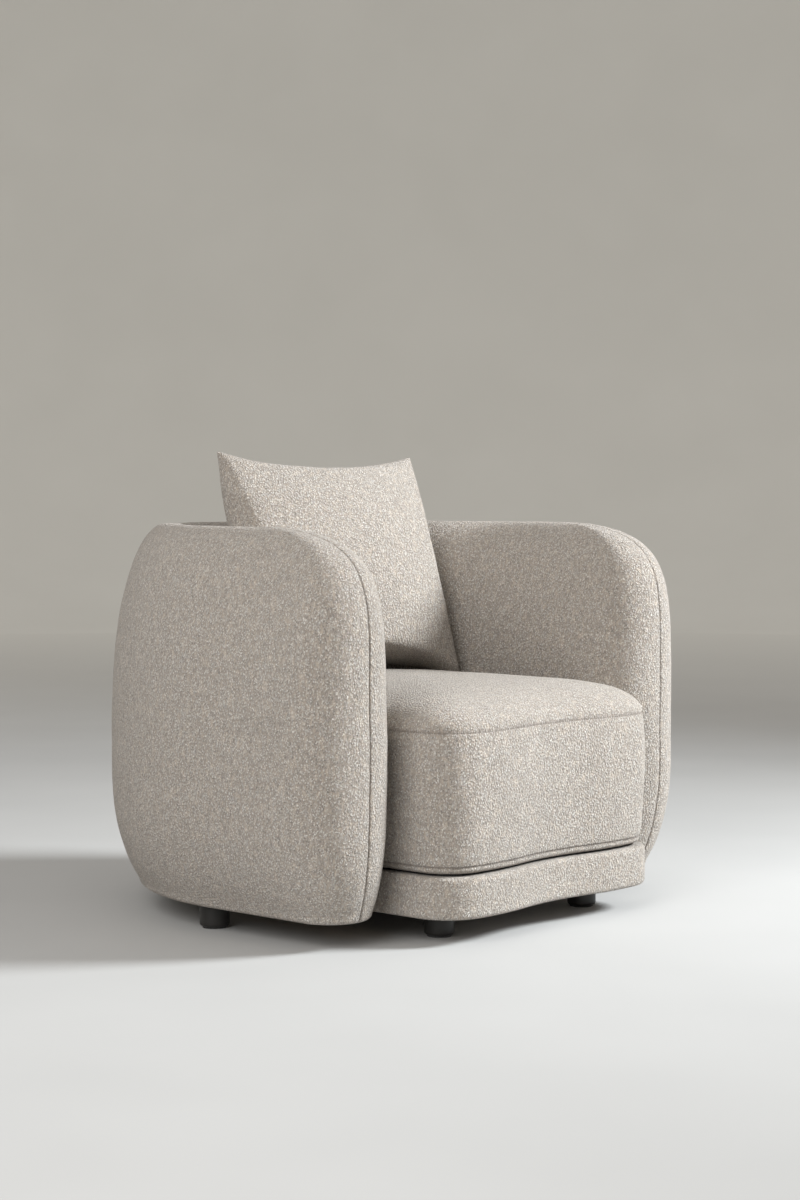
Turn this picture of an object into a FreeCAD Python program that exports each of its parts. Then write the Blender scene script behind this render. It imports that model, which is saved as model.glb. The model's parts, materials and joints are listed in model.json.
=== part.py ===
import FreeCAD, Part
import math
import os
import Sketcher

from FreeCAD import Placement, Rotation, Vector

# Upholstered tub chair with a loose seat cushion and a scatter cushion
# Millimetres. +Z is up, the front faces -Y, and the origin is on the floor
# under the middle of the chair.

SIZES = {
    # Tub: a horseshoe wall of two straight arms and a half-round back
    "tub_half_width": 487.0,
    "wall_thickness": 198.0,
    "arm_reach": 361.0,
    "back_reach": 441.0,
    "crest_height": 673.0,
    "bulge_height": 288.0,
    "upholstery_bottom": 42.0,
    "outer_tuck": 46.0,
    "inner_tuck": 14.0,
    "nose_tuck": 36.0,
    "crest_slope": 296.0,
    "bottom_edge_round": 12.0,
    # Upholstery layers
    "cover_thickness": 2.0,
    "foam_clearance": 0.3,
    # Six feet, each with a glide below and a bolt above
    "foot_radius": 25.0,
    "foot_lift": 3.0,
    "front_feet_x": 191.0,
    "front_feet_setback": 110.0,
    "side_feet_setback": 105.0,
    "side_feet_y": 0.0,
    "rear_feet_x": 191.0,
    "rear_feet_setback": 151.0,
    "glide_radius": 20.0,
    "bolt_radius": 4.0,
    "bolt_length": 46.0,
    "bolt_clearance": 0.05,
    "bolt_depth_in_foot": 30.0,
    "insert_radius": 6.0,
    "insert_length": 16.0,
    # Timber frame
    "board_bottom": 46.0,
    "board_thickness": 18.0,
    "frame_depth": 84.0,
    "frame_top": 560.0,
    "liner_thickness": 4.0,
    "rim_thickness": 18.0,
    "post_width": 40.0,
    "window_half_width": 205.0,
    "window_front": 270.0,
    "window_back": 150.0,
    "window_corner": 60.0,
    "dust_cover_thickness": 1.0,
    "dust_cover_margin": 30.0,
    # Seat platform inside the tub
    "rail_thickness": 28.0,
    "rail_height": 44.0,
    "side_rail_setback": 141.0,
    "corner_block_leg": 50.0,
    "corner_block_depth": 140.0,
    "strap_width": 60.0,
    "strap_thickness": 2.5,
    "strap_pitch": 84.0,
    "strap_margin": 3.0,
    "deck_thickness": 1.0,
    "deck_margin": 20.0,
    # Plinth, and the wave that the plinth and the seat share
    "front_reach": 441.0,
    "wave_depth": 15.0,
    "lobe_offset": 175.0,
    "front_corner": 80.0,
    "plinth_gap": 5.0,
    "plinth_top": 112.7,
    "plinth_edge_round": 9.0,
    "plinth_foam": 25.0,
    # Seat cushion
    "seat_gap": 5.0,
    "seat_back_gap": 12.0,
    "seat_rest_gap": 0.3,
    "seat_under_round": 13.0,
    "seat_lower_seam": 12.0,
    "seat_upper_seam": 228.0,
    "seat_seam_inset": 3.0,
    "seat_crown": 63.0,
    "seat_crown_share": 0.7042,
    "seat_topper": 45.0,
    # Zip round the back of the seat cushion
    "seat_zip_height": 100.0,
    "seat_zip_length": 496.0,
    "zip_tape_width": 24.0,
    "zip_tape_thickness": 0.8,
    "zip_coil_width": 6.0,
    "zip_coil_thickness": 1.4,
    "slider_length": 12.0,
    "slider_width": 11.0,
    "slider_wall": 1.8,
    "slider_clearance": 0.3,
    "zip_tape_end": 12.0,
    # Scatter cushion
    "pillow_half_width": 224.0,
    "pillow_half_height": 216.0,
    "pillow_waist": 11.0,
    "pillow_ear": 5.0,
    "pillow_half_thickness": 92.0,
    "pillow_cover": 1.5,
    "pillow_lean": 21.0,
    "pillow_turn": 12.0,
    "pillow_x": 64.0,
    "pillow_wall_gap": 108.0,
    "pillow_rest_gap": 0.3,
    "pillow_zip_length": 280.0,
    "pillow_zip_sink": 0.7,
}

# Shapes of the rounded profiles
CREST_POWER = 2.43
SLOPE_POWER = 7.1
TUCK_POWER = 3.2
CROWN_POWER = 2.6
CREST_STEPS = 7
CREST_CAP = 0.996
TUCK_STEPS = 2
ROUND_STEPS = ((0.0, 1.0), (0.35, 0.4), (1.0, 0.0))
CROWN_SHARES = (0.03, 0.12, 0.3, 0.6, 1.0)
PILLOW_SHARES = (0.14, 0.32, 0.5, 0.7, 0.87, 0.97)
PILLOW_ZIP_BAND = 2
PILLOW_CORNER_SHARE = 0.5

# Flats to each bend of an upholstered outline
BACK_FLATS = 10
FOAM_BLOCKS = 10
NOSE_FLATS = 4
CORNER_FLATS = 5
LOBE_FLATS = 4
EAR_FLATS = 3
SIDE_FLATS = 4

document = FreeCAD.newDocument("tub_chair")
sheet = document.addObject("Spreadsheet::Sheet", "Sizes")
for row, (alias, value) in enumerate(SIZES.items(), start=1):
    sheet.set(f"A{row}", alias)
    sheet.set(f"B{row}", str(value))
    sheet.setAlias(f"B{row}", alias)
document.recompute()

nodes = []


def size(alias):
    """Read one driving dimension back from the sheet."""
    return float(sheet.get(alias))


def keep(item, label):
    """Name an object as one piece of the chair."""
    item.Label = label
    nodes.append(item)
    return item


def feature(label, shape):
    """Add a shape that is made by functions, as one object of the document."""
    item = document.addObject("Part::Feature", label)
    item.Shape = shape
    return item


def extrusion(label, plan, height_expression):
    """Extrude a plan face upwards by a height from the sheet."""
    solid = document.addObject("Part::Extrusion", label)
    solid.Base = feature(label + "_plan", plan)
    solid.DirMode = "Custom"
    solid.Dir = Vector(0, 0, 1)
    solid.Solid = True
    solid.setExpression("LengthFwd", height_expression)
    return solid


def cylinder(label, radius_expression, height_expression, position):
    """Add an upright cylinder bound to the sheet."""
    item = document.addObject("Part::Cylinder", label)
    item.setExpression("Radius", radius_expression)
    item.setExpression("Height", height_expression)
    item.Placement.Base = position
    return item


def box(label, expressions, position, turn=0.0):
    """Add a box bound to the sheet; expressions gives length, width and height."""
    item = document.addObject("Part::Box", label)
    for name, expression in zip(("Length", "Width", "Height"), expressions):
        item.setExpression(name, expression)
    item.Placement = Placement(position, Rotation(Vector(0, 0, 1), turn))
    return item


def compound(label, items):
    """Group separate solids that share one node."""
    group = document.addObject("Part::Compound", label)
    group.Links = items
    return group


def cut(label, base, tool):
    """Cut one object with another."""
    item = document.addObject("Part::Cut", label)
    item.Base = base
    item.Tool = tool
    return item


# Derived places
inner_half_width = size("tub_half_width") - size("wall_thickness")
wall_middle = size("tub_half_width") - size("wall_thickness") / 2
back_centre = size("back_reach") - size("tub_half_width")
nose_centre = size("wall_thickness") / 2 - size("arm_reach")
board_top = size("board_bottom") + size("board_thickness")
frame_outer = wall_middle + size("frame_depth") / 2
frame_inner = wall_middle - size("frame_depth") / 2
rail_top = board_top + size("rail_height")
deck_bottom = rail_top + 2 * size("strap_thickness")
deck_top = deck_bottom + size("deck_thickness")
plinth_half_width = inner_half_width - size("plinth_gap")
seat_bottom = deck_top + size("seat_rest_gap")
seat_half_width = inner_half_width - size("seat_gap")
seat_back_centre = back_centre + size("seat_gap") - size("seat_back_gap")
seat_low_seam = seat_bottom + size("seat_lower_seam")
seat_top_seam = seat_bottom + size("seat_upper_seam")
seat_top = seat_top_seam + size("seat_crown")


def line(start, end):
    return Part.LineSegment(start, end).toShape()


def arc(centre, start, end):
    """The shorter arc about a centre from start to end."""
    middle = (start - centre) + (end - centre)
    middle.normalize()
    return Part.Arc(start, centre + middle * (start - centre).Length, end).toShape()


def face(edges):
    return Part.Face(Part.Wire(edges))


def true_edges(trail):
    """Lines and arcs along a trail of (centre, start, end, flats)."""
    return [arc(centre, start, end) if centre else line(start, end) for centre, start, end, _ in trail]


def flat_ring(trail):
    """The points of the same trail in straight flats, for the upholstered forms."""
    points = []
    for centre, start, end, flats in trail:
        if centre is None:
            points.append(end)
            continue
        first = start - centre
        last = end - centre
        turn = math.degrees(math.atan2(first.x * last.y - first.y * last.x, first.dot(last)))
        count = int(flats)
        for step in range(1, count + 1):
            points.append(centre + Rotation(Vector(0, 0, 1), turn * step / count).multVec(first))
    return points


def flat_faces(corners):
    """One flat face on four corners, or two where they are twisted."""
    first, second, third, fourth = corners
    normal = (second - first).cross(fourth - first)
    if abs(normal.dot(third - first)) < 1e-6 * normal.Length:
        outlines = [corners]
    else:
        outlines = [[first, second, third], [first, third, fourth]]
    return [Part.Face(Part.makePolygon(outline + outline[:1])) for outline in outlines]


def faceted_loft(rings):
    """A ruled solid through a stack of rings, kept in flat facets."""
    faces = [Part.Face(Part.makePolygon(ring + ring[:1])) for ring in (rings[0], rings[-1])]
    for low, high in zip(rings, rings[1:]):
        for index in range(len(low)):
            after = (index + 1) % len(low)
            faces += flat_faces([low[index], low[after], high[after], high[index]])
    shell = Part.makeShell(faces)
    shell.sewShape()
    solid = Part.makeSolid(shell)
    if solid.Volume < 0:
        solid.reverse()
    return solid


def half_round_plan(radius, front, level):
    """A straight-sided plan with a half-round back, from the line y = front."""
    centre = Vector(0, back_centre, level)
    right = Vector(radius, back_centre, level)
    back = Vector(0, back_centre + radius, level)
    left = Vector(-radius, back_centre, level)
    front_left = Vector(-radius, front, level)
    front_right = Vector(radius, front, level)
    return face([
        arc(centre, right, back),
        arc(centre, back, left),
        line(left, front_left),
        line(front_left, front_right),
        line(front_right, right),
    ])


def horseshoe_plan(outer, inner, front, level):
    """The horseshoe between two parallel outlines, with square ends."""
    return half_round_plan(outer, front, level).cut(half_round_plan(inner, front, level))


# Tub upholstery outline


def tub_section(level, outer_inset, inner_inset, setback):
    """One horizontal outline of the wall: straight arms, half-round back, round noses."""
    outer = size("tub_half_width") - outer_inset
    inner = inner_half_width + inner_inset
    nose = (outer - inner) / 2
    nose_x = (outer + inner) / 2
    nose_y = setback + nose - size("arm_reach")
    back = Vector(0, back_centre, level)
    right_nose = Vector(nose_x, nose_y, level)
    left_nose = Vector(-nose_x, nose_y, level)
    corners = [
        Vector(outer, nose_y, level),
        Vector(outer, back_centre, level),
        Vector(0, back_centre + outer, level),
        Vector(-outer, back_centre, level),
        Vector(-outer, nose_y, level),
        Vector(-nose_x, nose_y - nose, level),
        Vector(-inner, nose_y, level),
        Vector(-inner, back_centre, level),
        Vector(0, back_centre + inner, level),
        Vector(inner, back_centre, level),
        Vector(inner, nose_y, level),
        Vector(nose_x, nose_y - nose, level),
    ]
    straight = (None, 1)
    bend = (back, BACK_FLATS)
    left = (left_nose, NOSE_FLATS)
    right = (right_nose, NOSE_FLATS)
    kinds = [straight, bend, bend, straight, left, left, straight, bend, bend, straight, right, right]
    trail = []
    for index, (centre, flats) in enumerate(kinds):
        trail.append((centre, corners[index], corners[(index + 1) % len(corners)], flats))
    return flat_ring(trail)


def tub_solid(inset):
    """The whole wall, drawn in by an inset on every side."""
    low = size("upholstery_bottom") + inset
    middle = size("bulge_height")
    high = size("crest_height") - inset
    half_wall = size("wall_thickness") / 2
    sections = []
    for rise, share in ROUND_STEPS:
        drawn = inset + share * size("bottom_edge_round")
        level = low + rise * size("bottom_edge_round")
        sections.append(tub_section(
            level, drawn + size("outer_tuck"), drawn + size("inner_tuck"), drawn + size("nose_tuck")))
    start = low + size("bottom_edge_round")
    for step in range(TUCK_STEPS, 0, -1):
        share = step / (TUCK_STEPS + 1)
        level = middle - share * (middle - start)
        depth = share ** TUCK_POWER
        sections.append(tub_section(
            level, inset + depth * size("outer_tuck"), inset + depth * size("inner_tuck"),
            inset + depth * size("nose_tuck")))
    sections.append(tub_section(middle, inset, inset, inset))
    for step in range(1, CREST_STEPS + 1):
        share = math.sin(math.pi / 2 * step / CREST_STEPS)
        level = middle + share * (high - middle)
        share = min(share, CREST_CAP)
        drawn = inset + half_wall * (1 - math.sqrt(1 - share ** CREST_POWER))
        setback = inset + size("crest_slope") * (1 - (1 - share ** SLOPE_POWER) ** (1 / 3))
        sections.append(tub_section(level, drawn, drawn, setback))
    return faceted_loft(sections)


# Wave-fronted outline of the plinth and the seat


def wave_trail(half_width, reach, corner, lobe_offset, depth, level, back):
    """The sides and the two-lobed front, from the right side round to the left."""
    lobe_radius = (lobe_offset ** 2 + depth ** 2) / (4 * depth)
    lobe_y = lobe_radius - reach
    corner_x = half_width - corner
    corner_y = lobe_y - math.sqrt((lobe_radius - corner) ** 2 - (corner_x - lobe_offset) ** 2)
    valley = Vector(0, depth - reach - lobe_radius, level)
    right_trail = []
    left_trail = []
    for side, trail in ((1, right_trail), (-1, left_trail)):
        lobe = Vector(side * lobe_offset, lobe_y, level)
        turn = Vector(side * corner_x, corner_y, level)
        outward = turn - lobe
        outward.normalize()
        meeting = turn + outward * corner
        trough = (lobe + valley) * 0.5
        flank = Vector(side * half_width, corner_y, level)
        trail.append((None, Vector(side * half_width, back, level), flank, 1))
        trail.append((turn, flank, meeting, CORNER_FLATS))
        trail.append((lobe, meeting, trough, LOBE_FLATS))
    whole = right_trail + [(valley, right_trail[-1][2], left_trail[-1][2], LOBE_FLATS)]
    return whole + [(centre, end, start, flats) for centre, start, end, flats in reversed(left_trail)]


def wave_sizes(half_width, inset):
    """Sizes of the wave outline drawn in by an inset."""
    width = half_width - inset
    share = width / half_width
    least_corner = 0.375 * size("front_corner")
    corner = max(size("front_corner") - inset, least_corner)
    return (width, size("front_reach") - inset, corner,
            size("lobe_offset") * share, size("wave_depth") * share ** 2)


def plinth_trail(inset, level, back):
    """The plinth's outline, closed by a straight line at the back."""
    trail = wave_trail(*wave_sizes(plinth_half_width, inset), level, back)
    return trail + [(None, trail[-1][2], trail[0][1], 1)]


def plinth_plan(inset, level, back):
    return face(true_edges(plinth_trail(inset, level, back)))


def plinth_solid(inset):
    """The plinth's padded block with rounded top and bottom edges."""
    low = size("upholstery_bottom") + inset
    high = size("plinth_top") - inset
    edge = size("plinth_edge_round")
    back = nose_centre - size("foam_clearance")
    sections = []
    for rise, share in ROUND_STEPS:
        sections.append(flat_ring(plinth_trail(inset + share * edge, low + rise * edge, back)))
    for rise, share in reversed(ROUND_STEPS):
        sections.append(flat_ring(plinth_trail(inset + share * edge, high - rise * edge, back)))
    return faceted_loft(sections)


def platform_trail(half_width, centre_y, inset, level):
    """A waved front, straight sides and a half-round back, in one outline."""
    width = half_width - inset
    trail = wave_trail(*wave_sizes(half_width, inset), level, centre_y)
    centre = Vector(0, centre_y, level)
    left = Vector(-width, centre_y, level)
    back = Vector(0, centre_y + width, level)
    right = Vector(width, centre_y, level)
    return trail + [(centre, left, back, BACK_FLATS), (centre, back, right, BACK_FLATS)]


def seat_section(inset, level):
    """The seat cushion's outline, drawn in by an inset."""
    return flat_ring(platform_trail(seat_half_width, seat_back_centre, inset, level))


def seat_solid(inset):
    """The seat cushion: rounded underside, full sides and a crowned top."""
    seam = inset + size("seat_seam_inset")
    under = size("seat_under_round")
    low = seat_bottom + inset
    crown_width = size("seat_crown_share") * seat_half_width
    sections = [
        seat_section(seam + under, low),
        seat_section(seam + 0.4 * under, low + 0.35 * size("seat_lower_seam")),
        seat_section(seam, seat_low_seam),
        seat_section(inset, (2 * seat_low_seam + seat_top_seam) / 3),
        seat_section(inset, (seat_low_seam + 2 * seat_top_seam) / 3),
        seat_section(seam, seat_top_seam),
    ]
    for share in CROWN_SHARES:
        rise = size("seat_crown") * math.sqrt(1 - (1 - share) ** CROWN_POWER)
        drop = inset * share
        sections.append(seat_section(seam + share * crown_width, seat_top_seam + rise - drop))
    return faceted_loft(sections)


def slab(low, high, front=-1000.0, back=1000.0, left=-1000.0, right=1000.0):
    """A large block that keeps what lies between the given planes."""
    return Part.makeBox(right - left, back - front, high - low, Vector(left, front, low))


# Base board: the tub's footprint with round noses, and the plinth's in front


def board_plan(margin, level):
    """Plan of the base board, let out by a margin."""
    radius = frame_outer + margin
    nose = size("frame_depth") / 2 + margin
    front = nose_centre - margin
    meeting_x = wall_middle - math.sqrt(nose ** 2 - margin ** 2)
    centre = Vector(0, back_centre, level)
    edges = true_edges(wave_trail(*wave_sizes(plinth_half_width, size("plinth_foam") - margin), level, front))
    half_width = plinth_half_width - size("plinth_foam") + margin
    for side in (-1, 1):
        nose_middle = Vector(side * wall_middle, nose_centre, level)
        flank = Vector(side * half_width, front, level)
        meeting = Vector(side * meeting_x, front, level)
        tip = Vector(side * wall_middle, nose_centre - nose, level)
        outside = Vector(side * radius, nose_centre, level)
        shoulder = Vector(side * radius, back_centre, level)
        edges += [
            line(flank, meeting),
            arc(nose_middle, meeting, tip),
            arc(nose_middle, tip, outside),
            line(outside, shoulder),
            arc(centre, shoulder, Vector(0, back_centre + radius, level)),
        ]
    return Part.Face(Part.Wire(Part.__sortEdges__(edges)))


def window_plan(margin, level):
    """The rounded opening in the middle of the board, let out by a margin."""
    half = size("window_half_width") + margin
    corner = size("window_corner") + margin
    front = -size("window_front") - margin
    back = size("window_back") + margin
    edges = []
    turns = [(1, front, 1), (1, back, -1), (-1, back, -1), (-1, front, 1)]
    points = []
    for side, end, inward in turns:
        centre = Vector(side * (half - corner), end + inward * corner, level)
        on_side = centre + Vector(side * corner, 0, 0)
        on_end = centre + Vector(0, -inward * corner, 0)
        first, last = (on_end, on_side) if side * inward > 0 else (on_side, on_end)
        points.append((centre, first, last))
    for index, (centre, first, last) in enumerate(points):
        following = points[(index + 1) % len(points)][1]
        edges.append(arc(centre, first, last))
        edges.append(line(last, following))
    return face(edges)


front_feet_y = size("front_feet_setback") - size("front_reach")
side_feet_x = size("tub_half_width") - size("side_feet_setback")
rear_feet_y = size("back_reach") - size("rear_feet_setback")
feet = {
    "front_left": (-size("front_feet_x"), front_feet_y),
    "front_right": (size("front_feet_x"), front_feet_y),
    "side_left": (-side_feet_x, size("side_feet_y")),
    "side_right": (side_feet_x, size("side_feet_y")),
    "rear_left": (-size("rear_feet_x"), rear_feet_y),
    "rear_right": (size("rear_feet_x"), rear_feet_y),
}


# Feet


def origin_plane(body, role):
    return next(item for item in body.Origin.OriginFeatures if item.Role == role)


def circle_sketch(body, name, radius_expression, level_expression):
    """A circle about the body's own axis, at a level bound to the sheet."""
    sketch = body.newObject("Sketcher::SketchObject", name)
    sketch.AttachmentSupport = [(origin_plane(body, "XY_Plane"), "")]
    sketch.MapMode = "FlatFace"
    sketch.setExpression("AttachmentOffset.Base.z", level_expression)
    sketch.addGeometry(Part.Circle(Vector(), Vector(0, 0, 1), size("foot_radius")), False)
    sketch.addConstraint(Sketcher.Constraint("Coincident", 0, 3, -1, 1))
    radius = sketch.addConstraint(Sketcher.Constraint("Radius", 0, size("foot_radius")))
    sketch.setExpression(f"Constraints[{radius}]", radius_expression)
    return sketch


def make_foot(name, place):
    """A plain round foot with a blind hole for its bolt."""
    body = document.addObject("PartDesign::Body", f"foot_{name}")
    outline = circle_sketch(body, f"foot_{name}_outline", "Sizes.foot_radius", "Sizes.foot_lift")
    pad = body.newObject("PartDesign::Pad", f"foot_{name}_pad")
    pad.Profile = outline
    pad.setExpression("Length", "Sizes.board_bottom - Sizes.foot_lift")
    bore_sketch = circle_sketch(
        body, f"foot_{name}_bore_outline", "Sizes.bolt_radius + Sizes.bolt_clearance", "Sizes.board_bottom")
    bore = body.newObject("PartDesign::Pocket", f"foot_{name}_bore")
    bore.Profile = bore_sketch
    bore.setExpression("Length", "Sizes.bolt_depth_in_foot")
    body.Placement.Base = Vector(place[0], place[1], 0)
    keep(body, f"foot_{name}")


for name, place in feet.items():
    make_foot(name, place)


def at_each_foot(label, radius_expression, height_expression, level):
    """One cylinder over each foot."""
    return [
        cylinder(f"{label}_{name}", radius_expression, height_expression, Vector(x, y, level))
        for name, (x, y) in feet.items()
    ]


glides = at_each_foot("glide", "Sizes.glide_radius", "Sizes.foot_lift", 0)
keep(compound("foot_glides", glides), "foot_glides")

bolt_low = size("board_bottom") - size("bolt_depth_in_foot")
bolts = at_each_foot("bolt", "Sizes.bolt_radius", "Sizes.bolt_length", bolt_low)
keep(compound("foot_bolts", bolts), "foot_bolts")


def make_insert(name, place):
    """A threaded insert, flush with the underside of the board."""
    low = Vector(place[0], place[1], size("board_bottom"))
    barrel = cylinder(f"insert_{name}_barrel", "Sizes.insert_radius", "Sizes.insert_length", low)
    bore = cylinder(
        f"insert_{name}_bore", "Sizes.bolt_radius + Sizes.bolt_clearance", "Sizes.insert_length", low)
    return cut(f"insert_{name}", barrel, bore)


keep(compound("foot_inserts", [make_insert(name, place) for name, place in feet.items()]), "foot_inserts")

# Base board and dust cover

board_blank = extrusion(
    "board_blank", board_plan(0, size("board_bottom")).cut(window_plan(0, size("board_bottom"))).Faces[0],
    "Sizes.board_thickness")
insert_holes = compound("board_holes", at_each_foot(
    "board_hole", "Sizes.insert_radius + Sizes.bolt_clearance", "Sizes.board_thickness", size("board_bottom")))
keep(cut("base_board", board_blank, insert_holes), "base_board")

dust_level = size("board_bottom") - size("dust_cover_thickness")
keep(extrusion(
    "dust_cover", window_plan(size("dust_cover_margin"), dust_level), "Sizes.dust_cover_thickness"), "dust_cover")

# Tub frame: two bent liners, a top rim and posts between them

liner_height = "Sizes.frame_top - Sizes.board_bottom - Sizes.board_thickness"
outer_liner_inside = frame_outer - size("liner_thickness")
inner_liner_outside = frame_inner + size("liner_thickness")
keep(extrusion(
    "outer_liner", horseshoe_plan(frame_outer, outer_liner_inside, nose_centre, board_top),
    liner_height), "outer_liner")
keep(extrusion(
    "inner_liner", horseshoe_plan(inner_liner_outside, frame_inner, nose_centre, board_top),
    liner_height), "inner_liner")
rim_low = size("frame_top") - size("rim_thickness")
keep(extrusion(
    "top_rim", horseshoe_plan(outer_liner_inside, inner_liner_outside, nose_centre, rim_low),
    "Sizes.rim_thickness"), "top_rim")


def polar(radius, angle, level):
    """A point at a radius and an angle about the back's centre."""
    turn = math.radians(angle)
    return Vector(radius * math.cos(turn), back_centre + radius * math.sin(turn), level)


def ring_plan(inner, outer, start, end, level):
    """The part of a ring about the back's centre between two angles."""
    centre = Vector(0, back_centre, level)
    return face([
        line(polar(inner, start, level), polar(outer, start, level)),
        arc(centre, polar(outer, start, level), polar(outer, end, level)),
        line(polar(outer, end, level), polar(inner, end, level)),
        arc(centre, polar(inner, end, level), polar(inner, start, level)),
    ])


post_height = "Sizes.frame_top - Sizes.rim_thickness - Sizes.board_bottom - Sizes.board_thickness"
half_post_angle = math.degrees(size("post_width") / 2 / wall_middle)
posts = []
side_angles = (("right", half_post_angle), ("left", 180 - half_post_angle))
for name, angle in side_angles + (("back_right", 35), ("back", 90), ("back_left", 145)):
    plan = ring_plan(
        inner_liner_outside, outer_liner_inside, angle - half_post_angle, angle + half_post_angle, board_top)
    posts.append(extrusion(f"post_{name}", plan, post_height))
for name, left in (("front_right", inner_liner_outside), ("front_left", -outer_liner_inside)):
    posts.append(box(
        f"post_{name}", ("Sizes.frame_depth - 2 * Sizes.liner_thickness", "Sizes.post_width", post_height),
        Vector(left, nose_centre, board_top)))
keep(compound("tub_posts", posts), "tub_posts")

# Seat platform: rails round the inside, corner blocks, webbing and a deck cloth

rail_outside = plinth_half_width - size("plinth_foam")
rail_inside = rail_outside - size("rail_thickness")
side_rail_front = size("side_rail_setback") - size("front_reach")
front_rail_inset = size("plinth_foam") + size("rail_thickness")


def front_rail_plan(level):
    """The waved strip along the front, between two insets of the plinth's outline."""
    outside = plinth_plan(size("plinth_foam"), level, side_rail_front)
    inside = plinth_plan(front_rail_inset, level, side_rail_front)
    return outside.cut(inside)


keep(extrusion("front_rail", front_rail_plan(board_top), "Sizes.rail_height"), "front_rail")
for side, left in (("left", -rail_outside), ("right", rail_inside)):
    rail = box(
        f"side_rail_{side}", ("Sizes.rail_thickness", str(back_centre - side_rail_front), "Sizes.rail_height"),
        Vector(left, side_rail_front, board_top))
    keep(rail, f"side_rail_{side}")
rear_rail_plan = ring_plan(rail_inside, rail_outside, 0, 90, board_top).fuse(
    ring_plan(rail_inside, rail_outside, 90, 180, board_top)).removeSplitter().Faces[0]
keep(extrusion("rear_rail", rear_rail_plan, "Sizes.rail_height"), "rear_rail")


def corner_block(side):
    """A glue block that fills the rounded corner behind the front rail."""
    inside = plinth_plan(front_rail_inset, board_top, side_rail_front)
    leg = side * size("corner_block_leg")
    flank = Vector(side * rail_inside, side_rail_front, board_top)
    outside = flank - Vector(0, size("front_reach"), 0)
    along = outside - Vector(2 * leg * size("front_reach") / size("corner_block_depth"), 0, 0)
    wedge = face([line(flank, outside), line(outside, along), line(along, flank)])
    plan = inside.common(wedge).Faces[0]
    return extrusion(f"corner_block_{'right' if side > 0 else 'left'}", plan, "Sizes.rail_height")


keep(compound("corner_blocks", [corner_block(1), corner_block(-1)]), "corner_blocks")

strap_inset = size("plinth_foam") + size("strap_margin")
strap_front = strap_inset - size("front_reach")
strap_plan = face(true_edges(platform_trail(plinth_half_width, back_centre, strap_inset, rail_top)))
strap_field = extrusion("strap_field", strap_plan, "2 * Sizes.strap_thickness")


def strap_row(label, lengths, places, turn, level):
    """Parallel straps that end on the rails."""
    straps = []
    for index, place in enumerate(places):
        strap = box(f"{label}_{index}", (str(lengths), "Sizes.strap_width", "Sizes.strap_thickness"), place(index), turn)
        straps.append(strap)
    webbing = document.addObject("Part::Common", label)
    webbing.Base = compound(f"{label}_straps", straps)
    webbing.Tool = strap_field
    return webbing


pitch = size("strap_pitch")
cross_length = 2 * rail_outside
cross_rows = int((back_centre + rail_inside - strap_front) // pitch)
cross_start = strap_front + (back_centre + rail_inside - strap_front - (cross_rows - 1) * pitch) / 2
cross_places = [
    lambda index: Vector(-rail_outside, cross_start + index * pitch - size("strap_width") / 2, rail_top)
] * cross_rows
keep(strap_row("cross_webbing", cross_length, cross_places, 0.0, rail_top), "cross_webbing")

long_level = rail_top + size("strap_thickness")
long_length = back_centre + rail_outside - strap_front
long_rows = int(2 * rail_inside // pitch)
long_start = -(long_rows - 1) * pitch / 2
long_places = [
    lambda index: Vector(long_start + index * pitch + size("strap_width") / 2, strap_front, long_level)
] * long_rows
keep(strap_row("long_webbing", long_length, long_places, 90.0, long_level), "long_webbing")

deck_plan = face(true_edges(platform_trail(plinth_half_width, back_centre, size("deck_margin"), deck_bottom)))
keep(extrusion("deck_cloth", deck_plan, "Sizes.deck_thickness"), "deck_cloth")

# Tub upholstery: a foam block for each arm, a row of them round the back, and two covers that
# meet along the crest and the noses

skin = size("cover_thickness")
ease = size("foam_clearance")
clear_height = size("crest_height") + size("board_bottom")
footprint = board_plan(ease, 0).extrude(Vector(0, 0, board_top + ease))
frame_space = horseshoe_plan(frame_outer + ease, frame_inner - ease, nose_centre - ease, board_top).extrude(
    Vector(0, 0, size("frame_top") + ease - board_top))
tub_padding = tub_solid(skin + ease).cut([footprint, frame_space])
block_joints = []
for index in range(1, FOAM_BLOCKS):
    joint = Part.makeBox(2 * size("tub_half_width"), ease, clear_height, Vector(0, -ease / 2, 0))
    joint.Placement = Placement(Vector(0, back_centre, 0), Rotation(Vector(0, 0, 1), 180 * index / FOAM_BLOCKS))
    block_joints.append(joint)
back_blocks = tub_padding.common(slab(0, clear_height, front=back_centre)).cut(block_joints)
keep(feature("back_foam", back_blocks), "back_foam")
for side, left, right in (("left", -1000.0, 0.0), ("right", 0.0, 1000.0)):
    arm = slab(0, clear_height, back=back_centre, left=left, right=right)
    keep(feature(f"arm_foam_{side}", tub_padding.common(arm)), f"arm_foam_{side}")

tub_skin = tub_solid(0).cut(tub_solid(skin)).cut(footprint)
inner_side = half_round_plan(wall_middle, -2 * size("arm_reach"), 0).extrude(Vector(0, 0, clear_height))
keep(feature("outer_cover", tub_skin.cut(inner_side)), "outer_cover")
keep(feature("inner_cover", tub_skin.common(inner_side)), "inner_cover")

# Plinth upholstery: a foam border round the front of the platform, and its cover

plinth_middle = face(true_edges(plinth_trail(size("plinth_foam") - ease, 0, 0))).extrude(Vector(0, 0, clear_height))
keep(feature("plinth_padding", plinth_solid(skin + ease).cut(plinth_middle)), "plinth_padding")
keep(feature("plinth_cover", plinth_solid(0).cut(plinth_solid(skin)).cut(plinth_middle)), "plinth_cover")


def rectangle(half_width, low, high):
    return [(-half_width, low), (half_width, low), (half_width, high), (-half_width, high)]


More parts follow.
